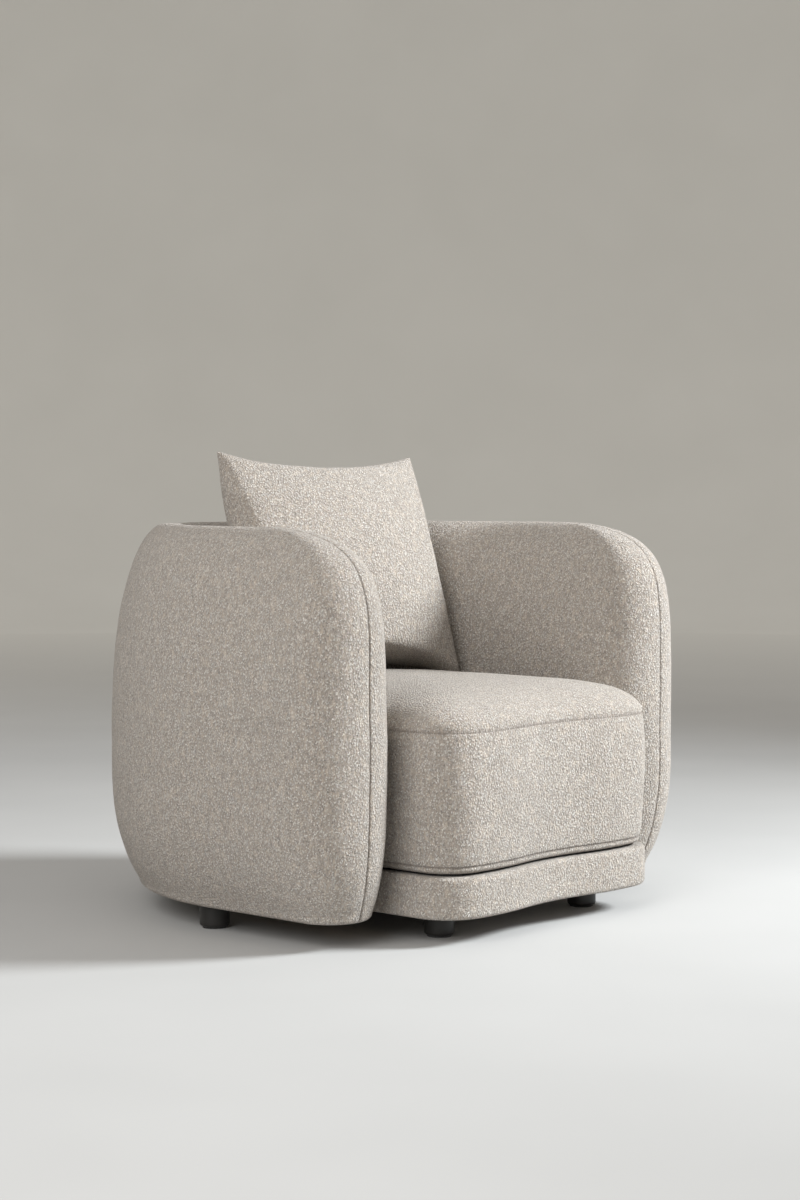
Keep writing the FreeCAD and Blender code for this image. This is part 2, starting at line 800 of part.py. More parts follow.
def zip_parts(strip, length, sink):
    """The bed, tape, coil and slider of a zip.

    strip(profile, first, last) sweeps a profile between two places along the zip, counted from
    its middle. The profile's points are (across, out) from the surface that the zip lies on.
    """
    tape_top = size("zip_tape_thickness") - sink
    coil_top = tape_top + size("zip_coil_thickness")
    play = size("slider_clearance")
    roof = coil_top + play
    half_tape = size("zip_tape_width") / 2
    half_channel = size("zip_coil_width") / 2 + play
    half_slider = size("slider_width") / 2
    slider_top = roof + size("slider_wall")
    channel = [
        (-half_slider, tape_top + play), (-half_channel, tape_top + play), (-half_channel, roof),
        (half_channel, roof), (half_channel, tape_top + play), (half_slider, tape_top + play),
        (half_slider, slider_top), (-half_slider, slider_top),
    ]
    half = length / 2
    tape_half = half + size("zip_tape_end")
    bed = strip(rectangle(half_tape + ease, -sink - ease, slider_top), -tape_half - ease, tape_half + ease)
    tape = strip(rectangle(half_tape, -sink, tape_top), -tape_half, tape_half)
    coil = strip(rectangle(size("zip_coil_width") / 2, tape_top, coil_top), -half, half)
    slider = strip(channel, half - size("slider_length"), half)
    return bed, tape, coil, slider


# Seat cushion: foam core and fibre topper inside three sewn panels, with a zip round the back

seat_zip_level = seat_bottom + size("seat_zip_height")
seat_zip_centre = Vector(0, seat_back_centre, 0)


def seat_strip(profile, first, last):
    """Sweep a profile round the back of the seat, on the boxing."""
    start = 90 + math.degrees(first / seat_half_width)
    turn = Rotation(Vector(0, 0, 1), start)
    points = [
        seat_zip_centre + turn.multVec(Vector(seat_half_width + out, 0, seat_zip_level + across))
        for across, out in profile
    ]
    blank = Part.Face(Part.makePolygon(points + points[:1]))
    return blank.revolve(seat_zip_centre, Vector(0, 0, 1), math.degrees((last - first) / seat_half_width))


bed, tape, coil, slider = zip_parts(seat_strip, size("seat_zip_length"), 0.0)
seat_skin = seat_solid(0).cut(seat_solid(skin)).cut(bed)
seat_filling = seat_solid(skin + ease)
topper_bottom = seat_top - size("seat_topper")
keep(feature("seat_foam_core", seat_filling.common(slab(0, topper_bottom))), "seat_foam_core")
keep(feature("seat_fibre_topper", seat_filling.common(slab(topper_bottom, clear_height))), "seat_fibre_topper")
keep(feature("seat_bottom_panel", seat_skin.common(slab(0, seat_low_seam))), "seat_bottom_panel")
keep(feature("seat_boxing", seat_skin.common(slab(seat_low_seam, seat_top_seam))), "seat_boxing")
keep(feature("seat_top_panel", seat_skin.common(slab(seat_top_seam, clear_height))), "seat_top_panel")
keep(feature("seat_zip_tape", tape), "seat_zip_tape")
keep(feature("seat_zip_coil", coil), "seat_zip_coil")
keep(feature("seat_zip_slider", slider), "seat_zip_slider")

# Scatter cushion: built upright about its own centre, then leaned against the back


def pillow_ring(half_width, half_height, corner, waist, depth):
    """One outline across the cushion, its four sides drawn in by a waist."""
    points = []
    for quarter in range(4):
        across, along = (half_height, half_width) if quarter % 2 else (half_width, half_height)
        turn = Rotation(Vector(0, -1, 0), 90 * quarter)
        for step in range(EAR_FLATS + 1):
            angle = math.pi / 2 * step / EAR_FLATS
            points.append(turn.multVec(Vector(
                across - corner * (1 - math.cos(angle)), depth, along - corner * (1 - math.sin(angle)))))
        for step in range(1, SIDE_FLATS):
            share = 1 - 2 * step / SIDE_FLATS
            points.append(turn.multVec(Vector(
                share * (across - corner), depth, along - waist * (1 - share ** 2))))
    return points


def pillow_half_solid(inset, facing):
    """One half of the cushion, from the knife edge out to its crown."""
    waist = size("pillow_waist")
    wide = size("pillow_half_width") - waist - inset
    high = size("pillow_half_height") - waist - inset
    sections = [pillow_ring(wide + waist, high + waist, size("pillow_ear"), waist, 0)]
    for share in PILLOW_SHARES:
        side = math.sqrt(1 - share ** 2)
        diagonal = math.sqrt(1 - share)
        corner = PILLOW_CORNER_SHARE * high * (side - diagonal) / (1 - math.sqrt(0.5))
        depth = facing * share * (size("pillow_half_thickness") - inset)
        sections.append(pillow_ring(side * wide, side * high, corner, 0, depth))
    return faceted_loft(sections)


pillow_reach = size("pillow_half_height") - size("pillow_waist")
band = [
    Vector(0, share * size("pillow_half_thickness"), -math.sqrt(1 - share ** 2) * pillow_reach)
    for share in PILLOW_SHARES[PILLOW_ZIP_BAND:PILLOW_ZIP_BAND + 2]
]
band_middle = (band[0] + band[1]) * 0.5
band_across = band[0] - band[1]
band_across.normalize()
band_out = band_across.cross(Vector(1, 0, 0))
if band_out.y < 0:
    band_out = -band_out


def pillow_strip(profile, first, last):
    """Sweep a profile along the flat band near the foot of the back panel."""
    points = [
        band_middle + Vector(first, 0, 0) + band_across * across + band_out * out
        for across, out in profile
    ]
    return Part.Face(Part.makePolygon(points + points[:1])).extrude(Vector(last - first, 0, 0))


bed, tape, coil, slider = zip_parts(pillow_strip, size("pillow_zip_length"), size("pillow_zip_sink"))
pillow_skin = size("pillow_cover")
front_half = pillow_half_solid(0, -1)
back_half = pillow_half_solid(0, 1)
filling = pillow_half_solid(pillow_skin + ease, -1).fuse(pillow_half_solid(pillow_skin + ease, 1))
pillow_shapes = {
    "pillow_filling": filling,
    "pillow_front_panel": front_half.cut(pillow_half_solid(pillow_skin, -1)),
    "pillow_back_panel": back_half.cut(pillow_half_solid(pillow_skin, 1)).cut(bed),
    "pillow_zip_tape": tape,
    "pillow_zip_coil": coil,
    "pillow_zip_slider": slider,
}
lean = Rotation(Vector(0, 0, 1), -size("pillow_turn")) * Rotation(Vector(1, 0, 0), -size("pillow_lean"))
pillow_y = back_centre + inner_half_width - size("pillow_wall_gap")
pillow_place = Placement(Vector(size("pillow_x"), pillow_y, seat_top + size("pillow_half_height")), lean)


def settle(shape, place, support, gap):
    """Lower a placed shape step by step until it lies a gap above its support."""
    shape.Placement = place
    distance = shape.distToShape(support)[0]
    while distance > gap + 0.02:
        place = Placement(place.Base - Vector(0, 0, distance - gap), place.Rotation)
        shape.Placement = place
        distance = shape.distToShape(support)[0]
    return place


pillow_place = settle(front_half.fuse(back_half), pillow_place, seat_solid(0), size("pillow_rest_gap"))
for label, shape in pillow_shapes.items():
    panel = feature(label, shape)
    panel.Placement = pillow_place
    keep(panel, label)

# Check every object, then write each piece

document.recompute()
for item in document.Objects:
    if "Invalid" in item.State or "Error" in item.State:
        raise RuntimeError(f"{item.Label} failed: {item.State}")
os.makedirs("parts", exist_ok=True)
for item in nodes:
    shape = item.Shape
    if shape.isNull() or not shape.isValid() or not shape.Solids:
        raise RuntimeError(f"{item.Label} has no valid solid")
    shape.exportStep(f"parts/{item.Label}.step")

print(f"{len(nodes)} pieces, {seat_top:.1f} mm to the top of the seat")
print("seat zip slider turns about", seat_zip_centre)
print("scatter cushion zip slider runs along", lean.multVec(Vector(1, 0, 0)))
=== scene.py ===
"""Looks for the tub chair.

Nubby upholstery with sewn seams, a stuffed scatter cushion, turned feet, light and camera.
"""

import json
import math

import bpy
import numpy as np
from mathutils import Matrix, Vector, noise
from mathutils.bvhtree import BVHTree


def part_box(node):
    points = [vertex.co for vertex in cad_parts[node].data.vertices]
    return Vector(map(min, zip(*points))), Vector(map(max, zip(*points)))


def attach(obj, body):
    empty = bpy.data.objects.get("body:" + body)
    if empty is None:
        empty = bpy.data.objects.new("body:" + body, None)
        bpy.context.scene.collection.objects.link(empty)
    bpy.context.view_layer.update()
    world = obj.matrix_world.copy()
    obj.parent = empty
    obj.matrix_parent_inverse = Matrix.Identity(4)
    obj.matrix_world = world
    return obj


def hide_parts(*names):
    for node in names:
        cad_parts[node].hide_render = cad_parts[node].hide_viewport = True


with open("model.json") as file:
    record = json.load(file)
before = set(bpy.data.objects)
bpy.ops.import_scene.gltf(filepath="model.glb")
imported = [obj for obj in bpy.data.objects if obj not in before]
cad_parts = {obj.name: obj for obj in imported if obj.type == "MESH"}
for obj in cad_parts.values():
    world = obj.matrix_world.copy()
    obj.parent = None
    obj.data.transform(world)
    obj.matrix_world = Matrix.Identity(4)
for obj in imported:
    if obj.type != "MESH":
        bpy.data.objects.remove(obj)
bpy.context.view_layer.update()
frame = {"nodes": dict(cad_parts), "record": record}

# Sizes of the wall, in metres

HALF_WIDTH = 0.487
WALL = 0.198
ARM_REACH = 0.361
BACK_CENTRE = -0.046
INNER = HALF_WIDTH - WALL
BOTTOM = 0.042
WIDEST = 0.288
CREST = 0.673
OUTER_TUCK = 0.046
INNER_TUCK = 0.014
NOSE_TUCK = 0.036
CREST_SLOPE = 0.296
BOTTOM_ROUND = 0.012
CREST_POWER = 2.43
SLOPE_POWER = 7.1
TUCK_POWER = 3.2
CREST_SAMPLES = 4000
CREST_SPACING = 0.0085
SETBACK_WEIGHT = 0.35
TUCK_ROWS = 30

# Sizes of the seat cushion and the plinth

FRONT_REACH = 0.441
WAVE_DEPTH = 0.015
LOBE_OFFSET = 0.175
FRONT_CORNER = 0.080
SEAT_HALF = 0.284
SEAT_BACK_CENTRE = -0.053
SEAT_LOW = 0.1143
LOW_SEAM = 0.1263
TOP_SEAM = 0.3423
SEAM_INSET = 0.004
SEAT_TUCK = 0.010
SEAT_UNDER = 0.013
SEAT_ZIP = 0.2143
CROWN = 0.063
CROWN_WIDTH = 0.200
CROWN_POWER = 2.6
PLINTH_HALF = 0.284
PLINTH_LOW = 0.042
PLINTH_HIGH = 0.1127
PLINTH_ROUND = 0.009
PLINTH_BACK = -0.262
PLINTH_INSET = 0.001

# Share of the seat's height over which its lower tuck fades, and its top seam draws in
TUCK_FADE = (-0.35, 0.62)
TOP_DRAW = (0.72, 1.05)

# Seams: how far the cover lies inside the CAD surface, and the half width of the line of painted shade along
# each seam groove
COVER_INSET = 0.0012
SEAM_LINE = 0.0013


# Mesh helpers


def new_object(name, vertices, faces, material=None, seam=None):
    mesh = bpy.data.meshes.new(name)
    mesh.from_pydata([tuple(map(float, v)) for v in vertices], [], faces)
    mesh.validate()
    mesh.update()
    for polygon in mesh.polygons:
        polygon.use_smooth = True
    obj = bpy.data.objects.new(name, mesh)
    bpy.context.scene.collection.objects.link(obj)
    if material:
        mesh.materials.append(material)
    # The "seam" attribute holds how strongly painted shade darkens the cover along its seam grooves
    if seam is not None:
        mesh.attributes.new("seam", "FLOAT", "POINT").data.foreach_set("value", np.asarray(seam, np.float32))
    return obj


def normals_of(vertices, faces):
    """Area-weighted vertex normals."""
    total = np.zeros_like(vertices)
    for corners in faces:
        points = vertices[list(corners)]
        normal = np.cross(points[2] - points[0], points[-1] - points[1])
        for index in corners:
            total[index] += normal
    length = np.linalg.norm(total, axis=1)
    length[length < 1e-12] = 1
    return total / length[:, None]


def ring_faces(rings, columns, start=0):
    """Quads between successive closed rings."""
    faces = []
    for ring in range(rings - 1):
        low = start + ring * columns
        high = low + columns
        for column in range(columns):
            after = (column + 1) % columns
            faces.append((low + column, low + after, high + after, high + column))
    return faces


def bump(distance, depth, width):
    """A smooth groove of that depth, by distance from its middle."""
    return depth * np.exp(-(distance / width) ** 2)


def soft_noise(points, scale, seed):
    """Slow rises and falls over the surface, from -1 to 1."""
    offset = Vector((seed * 7.31, seed * 3.17, seed * 5.77))
    return np.array([noise.noise(Vector(p) * scale + offset) for p in points])


def smooth_step(value, low, high):
    share = np.clip((value - low) / (high - low), 0, 1)
    return share * share * (3 - 2 * share)


def resample(curve, spacing):
    """The curve's parameters at an even spacing along it."""
    steps = np.linalg.norm(np.diff(curve, axis=0), axis=1)
    along = np.concatenate([[0], np.cumsum(steps)])
    count = max(2, int(round(along[-1] / spacing)) + 1)
    return np.interp(np.linspace(0, along[-1], count), along, np.arange(len(along)))


# Materials


class Nodes:
    """Short calls for building a material's nodes."""

    def __init__(self, name):
        self.material = bpy.data.materials.new(name)
        self.material.use_nodes = True
        self.tree = self.material.node_tree
        self.tree.nodes.clear()
        self.shader = self.tree.nodes.new("ShaderNodeBsdfPrincipled")
        output = self.tree.nodes.new("ShaderNodeOutputMaterial")
        self.tree.links.new(self.shader.outputs["BSDF"], output.inputs["Surface"])
        self.place = self.tree.nodes.new("ShaderNodeTexCoord").outputs["Object"]

    def put(self, socket, value):
        if isinstance(value, bpy.types.NodeSocket):
            self.tree.links.new(value, socket)
        else:
            socket.default_value = value

    def mapped(self, scale):
        node = self.tree.nodes.new("ShaderNodeMapping")
        self.put(node.inputs["Vector"], self.place)
        node.inputs["Scale"].default_value = scale
        return node.outputs["Vector"]

    def noise(self, scale, detail=2.0, roughness=0.5, place=None, distortion=0.0):
        node = self.tree.nodes.new("ShaderNodeTexNoise")
        self.put(node.inputs["Vector"], place or self.place)
        node.inputs["Scale"].default_value = scale
        node.inputs["Detail"].default_value = detail
        node.inputs["Roughness"].default_value = roughness
        node.inputs["Distortion"].default_value = distortion
        return node

    def voronoi(self, scale, place=None, feature="F1", smoothness=None):
        node = self.tree.nodes.new("ShaderNodeTexVoronoi")
        node.feature = feature
        self.put(node.inputs["Vector"], place or self.place)
        node.inputs["Scale"].default_value = scale
        if smoothness is not None:
            node.inputs["Smoothness"].default_value = smoothness
        return node

    def wave(self, scale, place=None, direction="X", distortion=0.0, detail=0.0):
        node = self.tree.nodes.new("ShaderNodeTexWave")
        node.bands_direction = direction
        self.put(node.inputs["Vector"], place or self.place)
        node.inputs["Scale"].default_value = scale
        node.inputs["Distortion"].default_value = distortion
        node.inputs["Detail"].default_value = detail
        return node.outputs["Fac"]

    def math(self, operation, first, second=0.0):
        node = self.tree.nodes.new("ShaderNodeMath")
        node.operation = operation
        self.put(node.inputs[0], first)
        self.put(node.inputs[1], second)
        return node.outputs[0]

    def scale_range(self, value, low, high, new_low=0.0, new_high=1.0):
        node = self.tree.nodes.new("ShaderNodeMapRange")
        self.put(node.inputs["Value"], value)
        node.inputs["From Min"].default_value = low
        node.inputs["From Max"].default_value = high
        node.inputs["To Min"].default_value = new_low
        node.inputs["To Max"].default_value = new_high
        return node.outputs["Result"]

    def mix(self, share, first, second):
        node = self.tree.nodes.new("ShaderNodeMix")
        node.data_type = "RGBA"
        self.put(node.inputs[0], share)
        self.put(node.inputs[6], first if isinstance(first, bpy.types.NodeSocket) else (*first, 1.0))
        self.put(node.inputs[7], second if isinstance(second, bpy.types.NodeSocket) else (*second, 1.0))
        return node.outputs[2]

    def bumps(self, height, distance, strength):
        node = self.tree.nodes.new("ShaderNodeBump")
        self.put(node.inputs["Height"], height)
        node.inputs["Distance"].default_value = distance
        node.inputs["Strength"].default_value = strength
        return node.outputs["Normal"]

    def finish(self, colour, roughness, normal=None, **uniform):
        self.put(self.shader.inputs["Base Color"], colour)
        self.put(self.shader.inputs["Roughness"], roughness)
        if normal is not None:
            self.put(self.shader.inputs["Normal"], normal)
        for name, value in uniform.items():
            self.shader.inputs[name.replace("_", " ")].default_value = value
        return self.material


WARM = (0.660, 0.550, 0.440)
COOL = (0.520, 0.515, 0.505)
SEAM_SHADE = (0.150, 0.120, 0.100)


def boucle_material(name, light, dark, fleck, grain=(1.0, 1.0, 0.7)):
    """Looped yarn: nubs about 3 mm wide, each with its own tone, and painted shade in the hollows between them.

    Flecks and an upright grain lie over them, and painted shade darkens the seam lines.
    """
    n = Nodes(name)
    shift = n.tree.nodes.new("ShaderNodeVectorMath")
    shift.operation = "MULTIPLY_ADD"
    n.put(shift.inputs[0], n.noise(210, detail=2).outputs["Color"])
    shift.inputs[1].default_value = (0.003, 0.003, 0.003)
    n.put(shift.inputs[2], n.mapped(grain))
    place = shift.outputs[0]
    nubs = n.voronoi(340, place=place, feature="SMOOTH_F1", smoothness=0.25)
    loops = n.voronoi(640, place=place)
    fuzz = n.noise(1100, detail=3, roughness=0.7).outputs["Fac"]
    height = n.math("SUBTRACT", 1.0, n.math("MULTIPLY", nubs.outputs["Distance"], 1.3))
    height = n.math("SUBTRACT", height, n.math("MULTIPLY", loops.outputs["Distance"], 0.6))
    height = n.math("ADD", height, n.math("MULTIPLY", fuzz, 0.4))
    tones = n.tree.nodes.new("ShaderNodeSeparateColor")
    n.put(tones.inputs["Color"], loops.outputs["Color"])
    # Painted shade: the colour darkens towards the hollows between the nubs, where shade would fall
    pit_shade = n.scale_range(height, 0.25, 1.0)
    colour = n.mix(pit_shade, dark, light)
    colour = n.mix(n.scale_range(tones.outputs["Red"], 0.45, 1.0, 0.0, 0.85), colour, dark)
    colour = n.mix(n.scale_range(tones.outputs["Green"], 0.78, 0.92, 0.0, 0.9), colour, fleck)
    warm = n.noise(150, detail=4, roughness=0.75, place=n.mapped((1, 1, 0.45))).outputs["Fac"]
    colour = n.mix(n.scale_range(warm, 0.50, 0.66, 0.0, 0.40), colour, WARM)
    cool = n.noise(170, detail=4, roughness=0.75, place=n.mapped((1, 1, 0.40))).outputs["Fac"]
    colour = n.mix(n.scale_range(cool, 0.52, 0.68, 0.0, 0.36), colour, COOL)
    # Painted shade along the seam grooves, read from the "seam" attribute
    seam = n.tree.nodes.new("ShaderNodeAttribute")
    seam.attribute_name = "seam"
    colour = n.mix(n.scale_range(seam.outputs["Fac"], 0.0, 1.0, 0.0, 0.62), colour, SEAM_SHADE)
    normal = n.bumps(height, 0.0024, 1.0)
    return n.finish(colour, 0.95, normal, Sheen_Weight=0.2, Sheen_Roughness=0.5, Specular_IOR_Level=0.12)


def wood_material(name, light, dark, scale=(3, 3, 40), roughness=0.6):
    n = Nodes(name)
    grain = n.noise(6, detail=6, roughness=0.6, place=n.mapped(scale), distortion=0.4).outputs["Fac"]
    rings = n.wave(5, place=n.mapped(scale), distortion=6, detail=2)
    mixed = n.math("ADD", n.math("MULTIPLY", grain, 0.7), n.math("MULTIPLY", rings, 0.3))
    colour = n.mix(n.scale_range(mixed, 0.3, 0.75), light, dark)
    pores = n.noise(900, detail=1, place=n.mapped((1, 1, 0.05))).outputs["Fac"]
    normal = n.bumps(n.math("ADD", mixed, n.math("MULTIPLY", pores, 0.3)), 0.0003, 0.6)
    return n.finish(colour, n.scale_range(mixed, 0.0, 1.0, roughness - 0.08, roughness + 0.1), normal)


def foot_material():
    """Wood stained black under a satin lacquer, with a faint upright grain."""
    n = Nodes("foot_black_satin")
    grain = n.noise(45, detail=5, roughness=0.6, place=n.mapped((1, 1, 0.06))).outputs["Fac"]
    colour = n.mix(grain, (0.011, 0.0105, 0.010), (0.028, 0.026, 0.024))
    scuff = n.noise(260, detail=2).outputs["Fac"]
    satin = n.scale_range(grain, 0.0, 1.0, 0.34, 0.46)
    roughness = n.math("ADD", satin, n.scale_range(scuff, 0.6, 0.8, 0.0, 0.12))
    return n.finish(colour, roughness, n.bumps(grain, 0.0002, 0.5), Specular_IOR_Level=0.4)


def cloth_material(name, light, dark, thread=0.0012, roughness=0.9):
    """A plain woven or felted sheet."""
    n = Nodes(name)
    turns = 1.0 / thread
    across = n.wave(turns / 6.283, direction="X", distortion=0.6, detail=1)
    along = n.wave(turns / 6.283, direction="Y", distortion=0.6, detail=1)
    weave = n.math("MULTIPLY", across, along)
    fibre = n.noise(700, detail=3).outputs["Fac"]
    height = n.math("ADD", weave, n.math("MULTIPLY", fibre, 0.6))
    colour = n.mix(n.scale_range(height, 0.1, 1.0), dark, light)
    return n.finish(colour, roughness, n.bumps(height, 0.0004, 0.7))


def foam_material(name, light, dark, cell):
    n = Nodes(name)
    cells = n.voronoi(1.0 / cell).outputs["Distance"]
    tone = n.noise(20, detail=2).outputs["Fac"]
    colour = n.mix(n.scale_range(cells, 0.1, 0.6), dark, light)
    colour = n.mix(n.scale_range(tone, 0.4, 0.7, 0.0, 0.15), colour, dark)
    return n.finish(colour, 0.95, n.bumps(cells, 0.0008, 0.6))


def metal_material(name, light, dark, roughness):
    n = Nodes(name)
    spots = n.noise(180, detail=4, roughness=0.6).outputs["Fac"]
    colour = n.mix(spots, dark, light)
    return n.finish(colour, n.scale_range(spots, 0.3, 0.7, roughness - 0.07, roughness + 0.1),
                    n.bumps(spots, 0.0001, 0.5), Metallic=1.0)


COIL_TURN = 1115.3


def coil_material(name, light, dark):
    """Moulded plastic with ribs that fan out from the middle of the seat cushion's back."""
    n = Nodes(name)
    radial = n.tree.nodes.new("ShaderNodeTexGradient")
    radial.gradient_type = "RADIAL"
    centre = n.tree.nodes.new("ShaderNodeMapping")
    n.put(centre.inputs["Vector"], n.place)
    centre.inputs["Location"].default_value = (0, -SEAT_BACK_CENTRE, 0)
    n.put(radial.inputs["Vector"], centre.outputs["Vector"])
    ribs = n.math("SINE", n.math("MULTIPLY", radial.outputs["Fac"], COIL_TURN))
    fuzz = n.noise(600, detail=1).outputs["Fac"]
    height = n.math("ADD", ribs, fuzz)
    colour = n.mix(n.scale_range(height, -1.0, 1.5), dark, light)
    return n.finish(colour, 0.55, n.bumps(height, 0.0004, 0.8))


GREIGE_LIGHT = (0.900, 0.868, 0.825)
GREIGE_DARK = (0.330, 0.290, 0.250)
GREIGE_FLECK = (0.220, 0.196, 0.176)
boucle = boucle_material("boucle_greige", GREIGE_LIGHT, GREIGE_DARK, GREIGE_FLECK)
foot_black = foot_material()
finishes = {
    "glide": cloth_material("glide_felt", (0.05, 0.05, 0.05), (0.02, 0.02, 0.02), 0.0009),
    "steel": metal_material("zinc_plated_steel", (0.62, 0.62, 0.64), (0.45, 0.45, 0.46), 0.35),
    "plywood": wood_material("birch_plywood", (0.62, 0.45, 0.28), (0.42, 0.28, 0.16), (30, 30, 2)),
    "timber": wood_material("beech_timber", (0.60, 0.43, 0.27), (0.40, 0.26, 0.15), (25, 25, 3)),
    "lining": cloth_material("dust_cover_black", (0.035, 0.035, 0.036), (0.012, 0.012, 0.012), 0.0016),
    "webbing": cloth_material("jute_webbing", (0.36, 0.28, 0.19), (0.16, 0.12, 0.08), 0.0022),
    "foam": foam_material("cut_foam", (0.80, 0.74, 0.58), (0.52, 0.46, 0.33), 0.0016),
    "fibre": foam_material("fibre_wadding", (0.88, 0.88, 0.86), (0.62, 0.62, 0.60), 0.004),
    "zip_tape": cloth_material("zip_tape_greige", (0.40, 0.35, 0.30), (0.24, 0.20, 0.17), 0.0008),
    "zip_coil": coil_material("zip_coil_greige", (0.36, 0.31, 0.27), (0.15, 0.13, 0.11)),
    "zip_slider": metal_material("zip_slider_painted", (0.34, 0.30, 0.26), (0.24, 0.21, 0.18), 0.45),
    "boucle": boucle,
    "foot": foot_black,
}
slot_of = {entry["node"]: entry["material_slot"] for entry in frame["record"]["subparts"]}
for node, obj in frame["nodes"].items():
    obj.data.materials.clear()
    obj.data.materials.append(finishes[slot_of[node]])


# The wall: one upholstered horseshoe, with a seam along its crest and down each nose

SEAM_STEPS = np.array([0.0009, 0.0019, 0.0031, 0.0048, 0.0075, 0.0115, 0.017, 0.024, 0.032])
NOSE_STEPS = 22
SIDE_STEPS = 30
BACK_STEPS = 150


def wall_levels():
    """Rows of (height, outer inset, inner inset, nose setback) from the underside up to the crest."""
    rows = []
    for turn in np.linspace(0, 1, 6):
        angle = math.pi / 2 * turn
        drawn = BOTTOM_ROUND * (1 - math.sin(angle))
        rows.append((BOTTOM + BOTTOM_ROUND * (1 - math.cos(angle)), drawn + OUTER_TUCK, drawn + INNER_TUCK,
                     drawn + NOSE_TUCK))
    start = BOTTOM + BOTTOM_ROUND
    for step in range(1, TUCK_ROWS + 1):
        share = 1 - step / TUCK_ROWS
        depth = share ** TUCK_POWER
        level = WIDEST - share * (WIDEST - start)
        rows.append((level, depth * OUTER_TUCK, depth * INNER_TUCK, depth * NOSE_TUCK))
    rise = 1 - np.geomspace(1e-7, 1, CREST_SAMPLES)[::-1]
    drawn = WALL / 2 * (1 - np.sqrt(1 - rise ** CREST_POWER))
    setback = CREST_SLOPE * (1 - (1 - rise ** SLOPE_POWER) ** (1 / 3))
    level = WIDEST + rise * (CREST - WIDEST)
    curve = np.stack([level, drawn, SETBACK_WEIGHT * setback], axis=1)
    places = resample(curve, CREST_SPACING)
    near = []
    half = WALL / 2 - drawn
    for gap in list(SEAM_STEPS[::-1]) + [0.0]:
        near.append(float(np.argmin(np.abs(half - gap))))
    places = [p for p in places if half[int(p)] > SEAM_STEPS[-1] + 0.004] + near
    for place in places[1:]:
        index = int(round(place))
        rows.append((level[index], drawn[index], drawn[index], setback[index]))
    return rows


def side_and_back(reach, nose_y):
    """Points along the wall's straight side and a quarter round its back."""
    points = []
    for step in range(1, SIDE_STEPS + 1):
        points.append((reach, nose_y + (BACK_CENTRE - nose_y) * step / SIDE_STEPS))
    for step in range(1, BACK_STEPS // 2 + 1):
        angle = math.pi / 2 * step / (BACK_STEPS // 2)
        points.append((reach * math.cos(angle), BACK_CENTRE + reach * math.sin(angle)))
    return points


def wall_ring(level, outer_inset, inner_inset, setback):
    """One outline of the wall, from the right nose's tip round the outside to the left tip, and back inside."""
    outer = HALF_WIDTH - outer_inset
    inner = INNER + inner_inset
    nose = max((outer - inner) / 2, 0.0)
    middle = (outer + inner) / 2
    nose_y = setback + nose - ARM_REACH
    even = np.linspace(0, math.pi / 2, NOSE_STEPS + 1)
    angles = even.copy()
    for index, gap in enumerate(SEAM_STEPS, start=1):
        angles[index] = min(gap / max(nose, 1e-9), even[index])
    last = len(SEAM_STEPS)
    angles[last:] = np.linspace(angles[last], math.pi / 2, NOSE_STEPS + 1 - last)
    half = []
    for angle in angles:
        half.append((middle + nose * math.sin(angle), nose_y - nose * math.cos(angle)))
    half += side_and_back(outer, nose_y)
    inside = []
    for angle in angles[1:]:
        inside.append((middle - nose * math.sin(angle), nose_y - nose * math.cos(angle)))
    inside += side_and_back(inner, nose_y)
    outside = half + [(-x, y) for x, y in half[-2::-1]]
    within = inside[:-1] + [(-x, y) for x, y in inside[::-1]]
    ring = outside + within[::-1]
    return [(x, y, level) for x, y in ring], middle


def build_wall():
    rows = wall_levels()
    vertices = []
    gaps = []
    for row in rows:
        ring, middle = wall_ring(*row)
        vertices += ring
        for x, y, _ in ring:
            reach = abs(x) if y < BACK_CENTRE else math.hypot(x, y - BACK_CENTRE)
            gaps.append(abs(reach - middle))
    columns = len(vertices) // len(rows)
    faces = ring_faces(len(rows), columns)
    outside = 2 * (NOSE_STEPS + SIDE_STEPS + BACK_STEPS // 2) + 1

    def partner(index):
        return (columns - index) % columns if index else 0

    for base, flip in ((0, True), ((len(rows) - 1) * columns, False)):
        for index in range(outside - 1):
            corners = [index, index + 1, partner(index + 1), partner(index)]
            corners = list(dict.fromkeys(base + c for c in corners))
            if len(corners) > 2:
                faces.append(tuple(corners[::-1]) if flip else tuple(corners))
    vertices = np.array(vertices)
    gaps = np.array(gaps)
    normals = normals_of(vertices, faces)
    height = vertices[:, 2]
    seam = np.where(height > BOTTOM + 0.002, 1.0, 0.0)
    depth = bump(gaps, 0.0024, 0.0017) + bump(gaps, 0.0016, 0.010)
    sway = 0.0011 * soft_noise(vertices, 9.0, 1) + 0.0006 * soft_noise(vertices, 26.0, 2)
    sway *= np.clip((height - BOTTOM) / 0.05, 0, 1)
    vertices = vertices + normals * (sway - seam * depth - COVER_INSET)[:, None]
    # The seam lines carry painted shade in the cover's colour along the crest and nose seams
    return new_object("wall_upholstery", vertices, faces, boucle, seam * bump(gaps, 1.0, SEAM_LINE))


wall = build_wall()
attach(wall, "frame")
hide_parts("outer_cover", "inner_cover", "back_foam", "arm_foam_left", "arm_foam_right")


# Waved outline of the plinth and the seat


